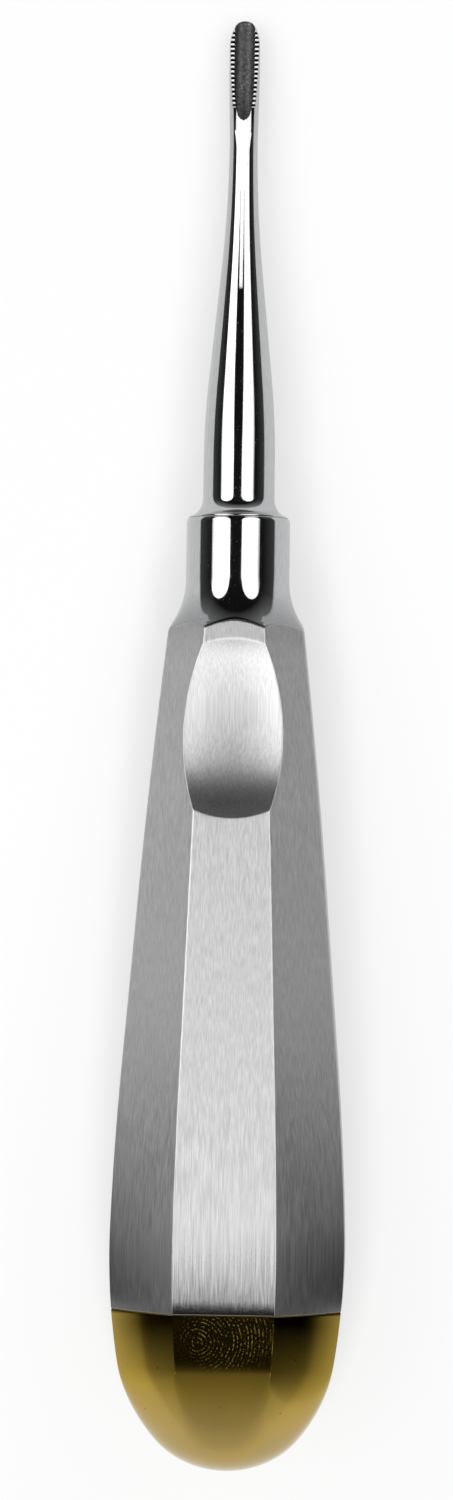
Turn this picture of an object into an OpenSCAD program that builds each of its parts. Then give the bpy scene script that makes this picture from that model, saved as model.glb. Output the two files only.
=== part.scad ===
// Straight dental elevator: a serrated gouge blade on a round shank, in a hollow eight-sided handle.
// Lengths are in millimetres. The tool lies on the underside facet of its handle,
// +Y runs towards the tip and +Z points up out of the thumb dish.
// A station is a distance along the tool's own axis, counted from the butt.

/* [Handle form] */
// Distance of a facet from the axis at the middle of the straight stretch
mid_apothem = 10.36; // [9.8:0.02:11]
// Station of the middle of the straight stretch
mid_station = 50; // [46:0.5:54]
// Length of the straight stretch, on which the tool rests
straight_len = 16; // [10:0.5:20]
// Fall of a facet towards the tip for each millimetre of the straight stretch
facet_fall = 0.08; // [0.07:0.002:0.09]
// Radius of the slow curve from the straight stretch to the neck
neck_sweep_r = 838; // [600:2:1200]
// Radius of the curve from the straight stretch to the thickest place
belly_r = 352; // [320:2:400]
// Station where the belly passes into the shoulder
belly_end = 25.2; // [24:0.1:27]
// Radius of the shoulder
shoulder_r = 72; // [60:1:90]
// Station where the shoulder passes into the knuckle
shoulder_end = 11.2; // [10:0.1:12.5]
// Radius of the knuckle that turns the facets in to the butt
knuckle_r = 17.7; // [16:0.1:20]
// How much nearer the axis the front and back facets lie than the other six
face_drop = 0.2; // [0.05:0.05:0.4]

/* [Handle shell] */
// Length of the shell between the end cap and the collar
shell_len = 70.45; // [66:0.05:76]
// Least wall between a flat facet and the bore
wall = 1.6; // [1.2:0.1:2]
// Radius of the ball-shaped thumb dish
dish_r = 22; // [18:0.5:28]
// Depth of the dish below the front facet
dish_depth = 2.1; // [1:0.1:2.4]
// Distance of the deepest place of the dish from the shell's front end
dish_from_front = 11.15; // [10:0.05:14]
// Length over which the bore narrows to the collar's spigot
bore_neck_len = 8; // [5:0.5:10]

/* [End cap] */
// Length of the end cap outside the shell
cap_len = 16.8; // [14:0.1:19]
// Radius of the round pole at the butt
pole_r = 10.4; // [9:0.1:12]
// Station where the round pole passes into the corner rounding
pole_end = 3.2; // [2.6:0.1:3.8]
// Radius of the rounding that softens the corners towards the pole
corner_sweep_r = 19; // [18:0.5:24]
// Length of the spigot inside the shell
cap_spigot_len = 5; // [3:0.1:8]
// Wall of the cap's spigot
cap_wall = 1.6; // [1.2:0.1:2.2]
// Width of the ledge in the shell that the cap's spigot stops at
ledge_w = 0.4; // [0.2:0.1:0.8]

/* [Neck collar] */
// Radius of the collar
collar_r = 5.36; // [4.8:0.02:5.8]
// Length of the cylindrical collar
collar_len = 6.3; // [4:0.1:9]
// Length of the flare between collar and shell
flare_len = 4.45; // [3.6:0.05:5.2]
// Rounding of the collar's front edge
collar_edge_r = 0.15; // [0.05:0.05:0.4]
// Step by which the flare's wide end lies inside the six wider-set facets
flare_inset = 0.08; // [0.04:0.01:0.15]
// Radius of the spigot inside the shell
spigot_r = 4.6; // [4.2:0.05:4.9]
// Length of the spigot inside the shell
spigot_len = 12; // [8:0.5:14]
// Chamfer on the hidden ends of spigots, tang and pin
hidden_chamfer = 0.3; // [0.1:0.05:0.5]

/* [Tang and pin] */
// Radius of the tang
tang_r = 2.4; // [1.8:0.05:2.9]
// Length of the tang below the seat flange
tang_len = 20.5; // [18:0.5:21.5]
// Radius of the cross pin
pin_r = 0.8; // [0.5:0.05:1]
// Distance of the cross pin from the shell's front end
pin_from_front = 6.5; // [4:0.25:7]
// Radial clearance of spigots, tang and pin
fit_gap = 0.04; // [0.02:0.01:0.1]

/* [Shank] */
// Radius of the seat flange that stands on the collar
seat_r = 5.2; // [4.6:0.05:5.3]
// Height of the seat flange at the shank's root
seat_h = 0.12; // [0.06:0.02:0.4]
// Radius of the fillet between seat flange and shank
shank_fillet_r = 2; // [1:0.1:2.6]
// Radius of the shank at its root
shank_r = 3.7; // [3.3:0.05:4]
// Distance from the collar to the end of the cylindrical root
shank_root_len = 6; // [5:0.1:8]
// Radius of the convex curve that starts the shank's taper
crown_r = 85; // [60:1:95]
// Fall of the shank's radius for each millimetre of its straight taper
shank_fall = 0.1; // [0.09:0.002:0.11]
// Length of the straight taper
taper_len = 11.5; // [9:0.1:13]
// Radius of the hollow curve that ends the taper at the waist
waist_sweep_r = 135; // [110:1:150]

/* [Blade] */
// Length from the waist to the tip
blade_len = 12.57; // [11:0.05:14]
// Half width of the blade
blade_r = 1.61; // [1.5:0.01:1.9]
// Length over which the waist widens to the blade
blade_flare_len = 7.5; // [6:0.1:8.5]
// Radius of the sides where they turn in to the tip
side_r = 5; // [4:0.1:6]
// Radius of the tip
nose_r = 1.25; // [1:0.05:1.4]
// Distance of the front plane from the axis at the tip
tip_front = 0.55; // [0.45:0.01:0.65]
// Slope of the front plane against the axis, in degrees
front_angle = 3.2; // [2.8:0.1:3.6]
// Distance of the back from the axis at the tip
tip_back = 0.45; // [0.35:0.01:0.6]
// Slope of the back against the axis, in degrees
back_angle = 4.6; // [4:0.1:5]
// Radius of the blade's round back
back_r = 1.75; // [1.7:0.01:2.2]
// Radius of the grinding wheel that leaves the trough
wheel_r = 75; // [60:1:90]
// Radius of the wheel's round rim, which is the trough's cross section
trough_r = 1.3; // [1.1:0.02:1.5]
// Greatest depth of the trough below the front plane
trough_depth = 0.55; // [0.4:0.01:0.65]
// Distance of the trough's deepest place from the tip
trough_from_tip = 1.5; // [1:0.1:3]
// Number of notches in each edge
notch_count = 17; // [8:1:17]
// Distance between notches
notch_pitch = 0.475; // [0.4:0.005:0.5]
// Depth of a notch
notch_depth = 0.16; // [0.08:0.01:0.2]
// Distance of the first notch from the tip
notch_from_tip = 1.35; // [1:0.05:2]

/* [Hidden] */
$fn = 96;
// Overlap of a cutter past the face that it opens
past = 1;
// Reach of a cutter that only has to clear the whole tool
reach = 20;
// Greatest distance between a handle arc and the chords that stand for it
chord_error = 0.006;
// Fractions along a small arc, from its start to its end
arc_steps = 8;
along = [for (i = [0 : arc_steps]) i / arc_steps];
// Angle between neighbouring facets
facet_turn = 45;
// Arc of the grinding wheel that is drawn, centred on the blade
wheel_arc = 30;

// Angle of the straight stretch against the axis, which is also the tilt of the tool at rest
rest_tilt = atan(facet_fall);
straight_start = mid_station - straight_len / 2;
straight_end = mid_station + straight_len / 2;

// Stations along the tool
shell_end = cap_len + shell_len;
flare_end = shell_end + flare_len;
collar_end = flare_end + collar_len;
crown_start = collar_end + shank_root_len;
taper_angle = atan(shank_fall);
crown_end = crown_start + crown_r * sin(taper_angle);
taper_end = crown_end + taper_len;
waist_station = taper_end + waist_sweep_r * sin(taper_angle);
tip_station = waist_station + blade_len;

// Centre of a handle arc [station, distance] from the point and the facet angle where it starts
function arc_centre(station, distance, angle, r) = [station - r * sin(angle), distance - r * cos(angle)];
// Facet angle and facet distance of an arc at a station
function arc_angle(centre, r, station) = asin((station - centre[0]) / r);
function arc_distance(centre, r, station) = centre[1] + r * cos(arc_angle(centre, r, station));
// Facet distance on the straight stretch
function straight_distance(station) = mid_apothem - facet_fall * (station - mid_station);

// The handle's four arcs, each tangent to the stretch before it
neck_centre = arc_centre(straight_end, straight_distance(straight_end), rest_tilt, neck_sweep_r);
belly_centre = arc_centre(straight_start, straight_distance(straight_start), rest_tilt, belly_r);
shoulder_centre = arc_centre(
    belly_end, arc_distance(belly_centre, belly_r, belly_end),
    arc_angle(belly_centre, belly_r, belly_end), shoulder_r);
knuckle_centre = arc_centre(
    shoulder_end, arc_distance(shoulder_centre, shoulder_r, shoulder_end),
    arc_angle(shoulder_centre, shoulder_r, shoulder_end), knuckle_r);

// Facet distance from the axis at any station of the handle
function apothem(station) =
    station > straight_end ? arc_distance(neck_centre, neck_sweep_r, station) :
    station > straight_start ? straight_distance(station) :
    station > belly_end ? arc_distance(belly_centre, belly_r, station) :
    station > shoulder_end ? arc_distance(shoulder_centre, shoulder_r, station) :
    arc_distance(knuckle_centre, knuckle_r, station);

// Stations along an arc of radius r, up to but without its end
function run(from, to, r) =
    let (count = ceil((to - from) / sqrt(8 * r * chord_error)))
    [for (i = [0 : count - 1]) from + (to - from) * i / count];
cap_stations = concat(
    run(0, shoulder_end, knuckle_r),
    run(shoulder_end, cap_len, shoulder_r),
    [cap_len]);
shell_stations = concat(
    run(cap_len, belly_end, shoulder_r),
    run(belly_end, straight_start, belly_r),
    [straight_start],
    run(straight_end, shell_end, neck_sweep_r),
    [shell_end]);

// Fits
front_bore_r = spigot_r + fit_gap;
socket_r = apothem(cap_len) - face_drop - wall;
cap_spigot_r = socket_r - fit_gap;
socket_end = cap_len + cap_spigot_len;
spigot_end = shell_end - spigot_len;
pin_station = shell_end - pin_from_front;

// Thumb dish
dish_station = shell_end - dish_from_front;
dish_half_len = sqrt(dish_depth * (2 * dish_r - dish_depth));
dish_tilt = arc_angle(neck_centre, neck_sweep_r, dish_station);
bore_neck_start = dish_station - dish_half_len - bore_neck_len / 2;

// Flare: an arc tangent to the collar that reaches the shell just inside its wider-set facets and stands
// a little proud of the front and back facets
joint_r = apothem(shell_end) - flare_inset;
flare_rise = joint_r - collar_r;
flare_r = (flare_len * flare_len + flare_rise * flare_rise) / (2 * flare_rise);
flare_joint_angle = asin(flare_len / flare_r);
flare_corner_angle = acos(1 - (apothem(shell_end) / cos(facet_turn / 2) + past - collar_r) / flare_r);
function flare_point(angle) =
    [collar_r + flare_r * (1 - cos(angle)), flare_end - flare_r * sin(angle)];

// Radius of the waist, after the crown, the straight taper and the hollow curve
curve_drop = 1 - cos(taper_angle);
waist_r = shank_r - crown_r * curve_drop - shank_fall * taper_len - waist_sweep_r * curve_drop;

// Station where the hollow waist runs alongside the front plane, which is cut from there to the tip
plane_start = waist_station - waist_sweep_r * sin(front_angle);

// Tip: a small arc tangent to the larger side arcs
side_station = tip_station - nose_r - sqrt(pow(side_r - nose_r, 2) - pow(side_r - blade_r, 2));
nose_angle = acos((side_r - blade_r) / (side_r - nose_r));

module lay_down() {
    rotate([-90 - rest_tilt, 0, 0])
        translate([0, face_drop - mid_apothem, -mid_station])
            children();
}

// Block between two opposite facets, as wide as the tool
module facet_pair(stations, drop) {
    right = [for (s = stations) [apothem(s) - drop, s]];
    left = [for (i = [len(stations) - 1 : -1 : 0]) [drop - apothem(stations[i]), stations[i]]];
    rotate([90, 0, 0])
        linear_extrude(2 * reach, center = true)
            polygon(concat(right, left));
}

module eight_facets(stations) {
    intersection() {
        facet_pair(stations, 0);
        rotate([0, 0, facet_turn]) facet_pair(stations, 0);
        rotate([0, 0, 2 * facet_turn]) facet_pair(stations, face_drop);
        rotate([0, 0, 3 * facet_turn]) facet_pair(stations, 0);
    }
}

module thumb_dish() {
    facet = apothem(dish_station) - face_drop;
    translate([0, -facet, dish_station])
        rotate([-dish_tilt, 0, 0])
            translate([0, dish_depth - dish_r, 0])
                sphere(dish_r, $fn = 240);
}

module shell_bore() {
    bore_rear_r = socket_r - ledge_w;
    bore_neck_r = apothem(bore_neck_start) - face_drop - wall;
    rotate_extrude()
        polygon([
            [0, cap_len - past],
            [socket_r, cap_len - past],
            [socket_r, socket_end],
            [bore_rear_r, socket_end],
            [bore_neck_r, bore_neck_start],
            [front_bore_r, bore_neck_start + bore_neck_len],
            [front_bore_r, shell_end + past],
            [0, shell_end + past]]);
}

// What the flare takes off the facets' front corners
module corner_cutter() {
    turn = flare_corner_angle - flare_joint_angle;
    arc = [for (t = along) flare_point(flare_joint_angle + turn * t)];
    rotate_extrude()
        polygon(concat(arc, [[arc[arc_steps][0], shell_end + past], [joint_r, shell_end + past]]));
}

module handle_shell() {
    color("#b9b9b6")
        lay_down()
            difference() {
                eight_facets(shell_stations);
                shell_bore();
                corner_cutter();
                thumb_dish();
            }
}

// Turned blank of the end cap: a round pole, then a larger arc that clears the corners at the seam
module cap_blank() {
    pole_angle = acos(1 - pole_end / pole_r);
    grow = corner_sweep_r - pole_r;
    sweep_centre = [-grow * sin(pole_angle), pole_r + grow * cos(pole_angle)];
    pole = [for (t = along) if (t < 1)
        pole_r * [sin(pole_angle * t), 1 - cos(pole_angle * t)]];
    sweep = [for (t = along)
        let (angle = pole_angle + (90 - pole_angle) * t)
        sweep_centre + corner_sweep_r * [sin(angle), -cos(angle)]];
    rotate_extrude()
        polygon(concat(pole, sweep, [[sweep[arc_steps][0], cap_len + past], [0, cap_len + past]]));
}

module end_cap() {
    hollow_r = cap_spigot_r - cap_wall;
    color("#8f7d3c")
        lay_down()
            difference() {
                union() {
                    intersection() {
                        eight_facets(cap_stations);
                        cap_blank();
                    }
                    translate([0, 0, cap_len - past])
                        cylinder(r = cap_spigot_r, h = past + cap_spigot_len - fit_gap);
                }
                translate([0, 0, pole_r]) sphere(hollow_r);
                translate([0, 0, pole_r]) cylinder(r = hollow_r, h = reach);
            }
}

module pin_hole() {
    translate([0, 0, pin_station])
        rotate([0, 90, 0])
            cylinder(r = pin_r + fit_gap, h = 2 * reach, center = true);
}

module neck_collar() {
    bore_r = tang_r + fit_gap;
    flare = [for (t = along) flare_point(flare_joint_angle * (1 - t))];
    edge = [for (t = along)
        [collar_r, collar_end] + collar_edge_r * [cos(90 * t) - 1, sin(90 * t) - 1]];
    color("#d5d7d8")
        lay_down()
            difference() {
                rotate_extrude()
                    polygon(concat(
                        [[bore_r, spigot_end],
                         [spigot_r - hidden_chamfer, spigot_end],
                         [spigot_r, spigot_end + hidden_chamfer],
                         [spigot_r, shell_end]],
                        flare, edge,
                        [[bore_r, collar_end]]));
                pin_hole();
            }
}

module tang_pin() {
    half_len = spigot_r - hidden_chamfer;
    color("#9a9c9e")
        lay_down()
            translate([0, 0, pin_station])
                rotate([0, 90, 0])
                    rotate_extrude()
                        polygon([
                            [0, -half_len],
                            [pin_r - hidden_chamfer, -half_len],
                            [pin_r, hidden_chamfer - half_len],
                            [pin_r, half_len - hidden_chamfer],
                            [pin_r - hidden_chamfer, half_len],
                            [0, half_len]]);
}

// Tang, seat flange, shank and blade before the blade is ground
module working_blank() {
    fillet_centre = [shank_r + shank_fillet_r, collar_end + seat_h + shank_fillet_r];
    fillet_angle = acos(max(0, fillet_centre[0] - seat_r) / shank_fillet_r);
    fillet = [for (t = along)
        let (angle = fillet_angle * (1 - t))
        fillet_centre - shank_fillet_r * [cos(angle), sin(angle)]];
    crown = [for (t = along)
        let (angle = taper_angle * t)
        [shank_r - crown_r * (1 - cos(angle)), crown_start + crown_r * sin(angle)]];
    waist = [for (t = along)
        let (angle = taper_angle * (1 - t))
        [waist_r + waist_sweep_r * (1 - cos(angle)), waist_station - waist_sweep_r * sin(angle)]];
    sides = [for (t = along) if (t < 1)
        let (angle = nose_angle * t)
        [blade_r - side_r * (1 - cos(angle)), side_station + side_r * sin(angle)]];
    nose = [for (t = along)
        let (angle = nose_angle + (90 - nose_angle) * t)
        [nose_r * sin(90 - angle), tip_station - nose_r * (1 - sin(angle))]];
    rotate_extrude()
        polygon(concat(
            [[0, collar_end - tang_len],
             [tang_r - hidden_chamfer, collar_end - tang_len],
             [tang_r, collar_end - tang_len + hidden_chamfer],
             [tang_r, collar_end],
             [seat_r, collar_end],
             [seat_r, fillet[0][1]]],
            fillet, crown, waist,
            [[blade_r, waist_station + blade_flare_len]],
            sides, nose));
}

// Frame of the blade's front plane: Z along the plane from the tip, -Y out of the blade
module on_front_plane() {
    translate([0, -tip_front, tip_station])
        rotate([-front_angle, 0, 0])
            children();
}

module front_cutter() {
    plane_len = (tip_station - plane_start) / cos(front_angle);
    on_front_plane()
        translate([-reach, -2 * reach, -plane_len])
            cube([2 * reach, 2 * reach, plane_len + past]);
}

module back_cutter() {
    translate([0, tip_back - back_r, tip_station])
        rotate([back_angle, 0, 0])
            difference() {
                translate([-reach, 0, -1.5 * blade_len])
                    cube([2 * reach, 2 * reach, 3 * blade_len]);
                cylinder(r = back_r, h = 4 * blade_len, center = true);
            }
}

// Part of the wheel's rim that passes through the blade. The rim's circle starts on its inner side,
// so that no seam runs along the floor of the trough.
module trough() {
    on_front_plane()
        translate([0, trough_depth - wheel_r, -trough_from_tip])
            rotate([0, 90, 0])
                rotate([0, 0, 90 - wheel_arc / 2])
                    rotate_extrude(angle = wheel_arc, $fn = 720)
                        translate([wheel_r - trough_r, 0])
                            rotate(180)
                                circle(trough_r, $fn = 64);
}

module notches() {
    on_front_plane()
        for (i = [0 : notch_count - 1])
            translate([-reach, 0, -notch_from_tip - notch_pitch * i])
                rotate([0, 90, 0])
                    linear_extrude(2 * reach)
                        polygon([[-notch_depth - past, -past], [0, notch_depth], [notch_depth + past, -past]]);
}

module working_end() {
    color("#c9cbcd")
        lay_down()
            difference() {
                working_blank();
                front_cutter();
                back_cutter();
                trough();
                notches();
                pin_hole();
            }
}

working_end();
neck_collar();
tang_pin();
handle_shell();
end_cap();
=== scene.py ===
import bpy
import numpy as np
from mathutils import Matrix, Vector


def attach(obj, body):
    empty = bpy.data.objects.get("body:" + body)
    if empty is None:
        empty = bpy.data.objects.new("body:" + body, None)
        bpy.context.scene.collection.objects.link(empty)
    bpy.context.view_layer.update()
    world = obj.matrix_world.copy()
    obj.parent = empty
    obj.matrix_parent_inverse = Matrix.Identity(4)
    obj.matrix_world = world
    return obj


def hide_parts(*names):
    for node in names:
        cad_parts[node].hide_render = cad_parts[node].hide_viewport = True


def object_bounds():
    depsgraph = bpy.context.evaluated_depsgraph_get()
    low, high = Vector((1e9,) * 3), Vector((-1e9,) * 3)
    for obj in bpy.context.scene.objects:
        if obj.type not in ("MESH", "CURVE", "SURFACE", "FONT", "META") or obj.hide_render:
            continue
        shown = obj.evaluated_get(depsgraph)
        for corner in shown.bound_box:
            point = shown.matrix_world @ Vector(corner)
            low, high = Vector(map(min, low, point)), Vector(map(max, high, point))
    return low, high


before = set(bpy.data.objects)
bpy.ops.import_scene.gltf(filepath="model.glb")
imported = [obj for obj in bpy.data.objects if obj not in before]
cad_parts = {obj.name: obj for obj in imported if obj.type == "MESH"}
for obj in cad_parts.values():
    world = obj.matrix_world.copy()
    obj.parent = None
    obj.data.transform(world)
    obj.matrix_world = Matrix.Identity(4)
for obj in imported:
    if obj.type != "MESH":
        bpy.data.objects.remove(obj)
cad_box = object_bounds()


# Handle shell
# A hollow eight-sided shell of stainless steel, swaged to a long taper and straight where it rests.
# A thumb dish is ground into its front facet, and the whole shell is brushed lengthwise.
# It is pressed over the collar's spigot in front and over the end cap's spigot behind.
mm = 0.001
# Sizes of the object are in mm, and its stations are measured along the axis from the butt.
# Distance of the facets from the axis: a straight stretch, with one arc before and three arcs behind it.
# The front and back facets lie a little lower than the others.
mid_apothem, mid_station, straight_len, facet_fall = 10.36, 50.0, 16.0, 0.08
neck_sweep_r, belly_r, shoulder_r, knuckle_r = 838.0, 352.0, 72.0, 17.7
belly_end, shoulder_end, face_drop = 25.2, 11.2, 0.2
cap_len, shell_len = 16.8, 70.45
# Thumb dish, bore and fits
dish_r, dish_depth, dish_from_front = 22.0, 2.1, 11.15
wall, ledge_w, cap_spigot_len, spigot_r, fit_gap, bore_neck_len = 1.6, 0.4, 5.0, 4.6, 0.04, 8.0
# Edges of the facets, the dish and the seam, and the crown of the slanting facets
facet_edge_r, butt_edge_r, edge_from = 0.35, 0.01, 24.0
dish_edge_r, seam_round = 0.2, 0.12
side_crown_r, crown_from, crown_full = 28.0, 46.0, 20.0
# The collar's flare, which cuts the front corners, and the groove along its edge
collar_r, flare_len, flare_edge_r = 5.36, 4.45, 0.05
flare_overlap, flare_corners, groove_depth, groove_w = 0.25, 0.25, 0.05, 0.06
# One over the distance to a surface that a direction misses
missed = 1e-3

rest_tilt = np.arctan(facet_fall)
shell_end = cap_len + shell_len
facet_angles = np.radians(np.arange(0, 360, 45))


def arc_centre(station, distance, lean, radius):
    """Centre of an arc that starts at a station and facet distance, where the facet leans by that angle."""
    return station - radius * np.sin(lean), distance - radius * np.cos(lean)


def on_arc(centre, radius, station):
    """Facet distance and lean of an arc at a station: the circle's height there and its normal's angle."""
    lean = np.arcsin(np.clip((station - centre[0]) / radius, -1, 1))
    return centre[1] + radius * np.cos(lean), lean


def straight(station):
    """Facet distance on the straight stretch: a line that falls evenly towards the tip."""
    return mid_apothem - facet_fall * (station - mid_station)


straight_start, straight_end = mid_station - straight_len / 2, mid_station + straight_len / 2
neck_centre = arc_centre(straight_end, straight(straight_end), rest_tilt, neck_sweep_r)
belly_centre = arc_centre(straight_start, straight(straight_start), rest_tilt, belly_r)
shoulder_centre = arc_centre(belly_end, *on_arc(belly_centre, belly_r, belly_end), shoulder_r)
knuckle_centre = arc_centre(shoulder_end, *on_arc(shoulder_centre, shoulder_r, shoulder_end), knuckle_r)


def apothem(station):
    """Distance of a facet from the axis: knuckle, shoulder and belly arcs, straight stretch, neck arc."""
    return np.select(
        [station > straight_end, station > straight_start, station > belly_end, station > shoulder_end],
        [on_arc(neck_centre, neck_sweep_r, station)[0], straight(station),
         on_arc(belly_centre, belly_r, station)[0], on_arc(shoulder_centre, shoulder_r, station)[0]],
        on_arc(knuckle_centre, knuckle_r, station)[0])


def lay_down(x, front, station):
    """Lays points of the upright tool, in mm, on its back in the frame, in metres: turned by the tilt."""
    lift = front + mid_apothem - face_drop
    along = station - mid_station
    y = lift * np.sin(rest_tilt) + along * np.cos(rest_tilt)
    z = lift * np.cos(rest_tilt) - along * np.sin(rest_tilt)
    return np.stack(np.broadcast_arrays(x, y, z), -1) * mm


def around(angle, radius, station):
    """Points at a distance from the axis, in the direction that turns from the front to the right."""
    return lay_down(radius * np.sin(angle), radius * np.cos(angle), station)


def rounded_max(values, power):
    """Largest of several values with its corners rounded: the root of the sum of their high powers."""
    values = np.stack(np.broadcast_arrays(*values))
    top = values.max(0)
    return top * ((values / top) ** power).sum(0) ** (1 / power)


def edge_power(radius, edge_r):
    """Power at which rounded_max cuts an eight-sided corner as deep as an edge radius would."""
    return np.log(2) * radius / (edge_r * (1 / np.cos(np.pi / 8) - 1))


dish_station = shell_end - dish_from_front
dish_facet, dish_lean = on_arc(neck_centre, neck_sweep_r, dish_station)
dish_out = dish_r - dish_depth
dish_ball = (dish_station + dish_out * np.sin(dish_lean),
             dish_facet - face_drop + dish_out * np.cos(dish_lean))


def dish_inverse(angle, station):
    """One over the distance to the ball that ground the dish, or a small value where a ray misses it."""
    towards = dish_ball[1] * np.cos(angle)
    square = towards ** 2 - dish_ball[1] ** 2 - (station - dish_ball[0]) ** 2 + dish_r ** 2
    hit = (square > 0) & (np.cos(angle) > 0)
    return np.where(hit, 1 / np.where(hit, towards - np.sqrt(np.abs(square)), 1), missed)


def smooth(value):
    """A soft step from 0 to 1: three squares less two cubes of the clipped value."""
    value = np.clip(value, 0, 1)
    return value * value * (3 - 2 * value)


def facet_inverse(angle, facet, station):
    """One over the distance to one facet along a direction, or a small value behind it. The four slanting
    facets are ground by hand and crowned towards the butt, as a circle through the same edges."""
    distance = apothem(station) - (face_drop if facet in (0, 4) else 0)
    towards = np.cos(angle - facet_angles[facet])
    if facet in (0, 2, 4, 6):
        return np.maximum(towards / distance, missed)
    curve = smooth((crown_from - station) / (crown_from - crown_full)) / side_crown_r
    distance = distance + curve * (distance * np.tan(np.pi / 8)) ** 2 / 2
    flat = (1 - distance * curve) * towards
    depth = distance * (2 - distance * curve)
    return np.maximum((flat + np.sqrt(flat ** 2 + depth * curve)) / depth, missed)


def front_inverse(angle, station):
    """The front facet with its thumb dish, joined by a narrow rounded edge."""
    facet = facet_inverse(angle, 0, station)
    return rounded_max([facet, dish_inverse(angle, station)], edge_power(1 / facet, dish_edge_r))


def facets_inverse(angle, station):
    """One over the distance to the eight facets and the dish, with rounded edges that grow finer towards
    the butt."""
    facets = [facet_inverse(angle, i, station) for i in range(1, 8)]
    from_butt = smooth((station - edge_from) / (crown_from - edge_from))
    edge_r = butt_edge_r + (facet_edge_r - butt_edge_r) * from_butt
    return rounded_max([front_inverse(angle, station)] + facets, edge_power(apothem(station), edge_r))


flare_end = shell_end + flare_len
flare_rise = apothem(shell_end) - collar_r
flare_r = ((flare_len + flare_overlap) ** 2 + flare_rise ** 2) / (2 * flare_rise)


def flare_inverse(angle, station):
    """One over the radius of the collar's flare, or a small value behind it. It runs across the shell's
    front corners: an arc that is tangent to the collar, drawn out a little towards those corners."""
    way = flare_end - station
    rise = flare_r - np.sqrt(np.abs(flare_r ** 2 - way ** 2))
    corners = 1 / facets_inverse(angle, shell_end) - apothem(shell_end)
    radius = collar_r + rise + flare_corners * corners * np.clip(rise / flare_rise, 0, 1) ** 3
    return np.where(way < flare_r, 1 / radius, missed)


def handle_radius(angle, station):
    """Distance of the handle's surface from the axis: the facets, cut by the flare with a fine edge, less a
    bell-shaped groove along the line where the two meet."""
    facets, flare = facets_inverse(angle, station), flare_inverse(angle, station)
    groove = groove_depth * np.exp(-((1 / facets - 1 / flare) / groove_w) ** 2)
    return 1 / rounded_max([facets, flare], edge_power(apothem(station), flare_edge_r)) - groove


def solve(function, low, high):
    """Bisection on whole arrays for the place where a function falls through zero."""
    for _ in range(50):
        middle = (low + high) / 2
        above = function(middle) > 0
        low, high = np.where(above, middle, low), np.where(above, high, middle)
    return (low + high) / 2


def front_corner(station):
    """Direction in which the front facet, or the dish where it is wider, meets its neighbour."""
    def front_lead(angle):
        return front_inverse(angle, station) - facet_inverse(angle, 1, station)
    low, high = (np.full_like(station, np.radians(turn)) for turn in (5, 44))
    return solve(front_lead, low, high)


def crowded(count):
    """Fractions from 0 up to 1 that crowd at both ends: half of one minus a cosine."""
    return (1 - np.cos(np.pi * np.arange(count) / count)) / 2


def facet_columns(station, counts):
    """Directions of a row's points, crowded at the eight edges, which follow the dish where it is wider."""
    corner = front_corner(station)
    back = np.arctan(np.sqrt(2) * apothem(station) / (apothem(station) - face_drop) - 1)
    eighth = np.full_like(station, np.pi / 8)
    edges = np.stack([-corner, corner, 3 * eighth, 5 * eighth, np.pi - back, np.pi + back,
                      11 * eighth, 13 * eighth, 2 * np.pi - corner], -1)
    return np.concatenate(
        [edges[:, i:i + 1] + (edges[:, i + 1:i + 2] - edges[:, i:i + 1]) * crowded(n)
         for i, n in enumerate(counts)], 1)


def new_piece(name, points, faces, materials, face_material=None, sharp_angle=35):
    """A mesh piece from points and four-cornered faces, smooth but for its sharp edges. Points are held
    inside the solids' box, whose arcs are cut by chords a few micrometres deep, and points that fall
    together are welded. Each face is split into two triangles, and those without area are dropped."""
    weld_size = 1e-4 * mm
    points = np.clip(points, *cad_box)
    keys = np.round(points / weld_size).astype(np.int64)
    _, first, weld = np.unique(keys, axis=0, return_index=True, return_inverse=True)
    corners = weld.ravel()[np.concatenate(faces)]
    triangles = corners[:, [0, 1, 2, 0, 2, 3]].reshape(-1, 3)
    solid = (triangles != np.roll(triangles, 1, 1)).all(1)
    triangles = triangles[solid]
    mesh = bpy.data.meshes.new(name)
    mesh.vertices.add(len(first))
    mesh.vertices.foreach_set("co", points[first].astype(np.float32).ravel())
    mesh.loops.add(triangles.size)
    mesh.loops.foreach_set("vertex_index", triangles.astype(np.int32).ravel())
    mesh.polygons.add(len(triangles))
    mesh.polygons.foreach_set("loop_start", np.arange(0, triangles.size, 3, dtype=np.int32))
    mesh.polygons.foreach_set("use_smooth", np.ones(len(triangles), bool))
    for material in materials:
        mesh.materials.append(material)
    if face_material is not None:
        mesh.polygons.foreach_set("material_index", np.repeat(face_material, 2)[solid].astype(np.int32))
    mesh.update(calc_edges=True)
    mesh.set_sharp_from_angle(angle=np.radians(sharp_angle))
    piece = bpy.data.objects.new(name, mesh)
    bpy.context.scene.collection.objects.link(piece)
    return piece


def ring_faces(rows, columns, first=0, closed=False):
    """Quads between neighbouring rings of points, and from the last to the first where they are closed."""
    index = first + np.arange(rows * columns).reshape(rows, columns)
    here, there = (index, np.roll(index, -1, 0)) if closed else (index[:-1], index[1:])
    return np.stack([here, np.roll(here, -1, 1), np.roll(there, -1, 1), there], -1).reshape(-1, 4)


def fan_faces(ring, pole):
    """Faces from a ring of points to one pole point, which takes two of their corners."""
    return np.stack([ring, np.roll(ring, -1), np.full_like(ring, pole), np.full_like(ring, pole)], -1)


def linear(code):
    """Linear colour of an sRGB hex code, with alpha 1."""
    value = np.array([int(code[i:i + 2], 16) for i in (1, 3, 5)]) / 255
    value = np.where(value <= 0.04045, value / 12.92, ((value + 0.055) / 1.055) ** 2.4)
    return (*value, 1.0)


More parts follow.
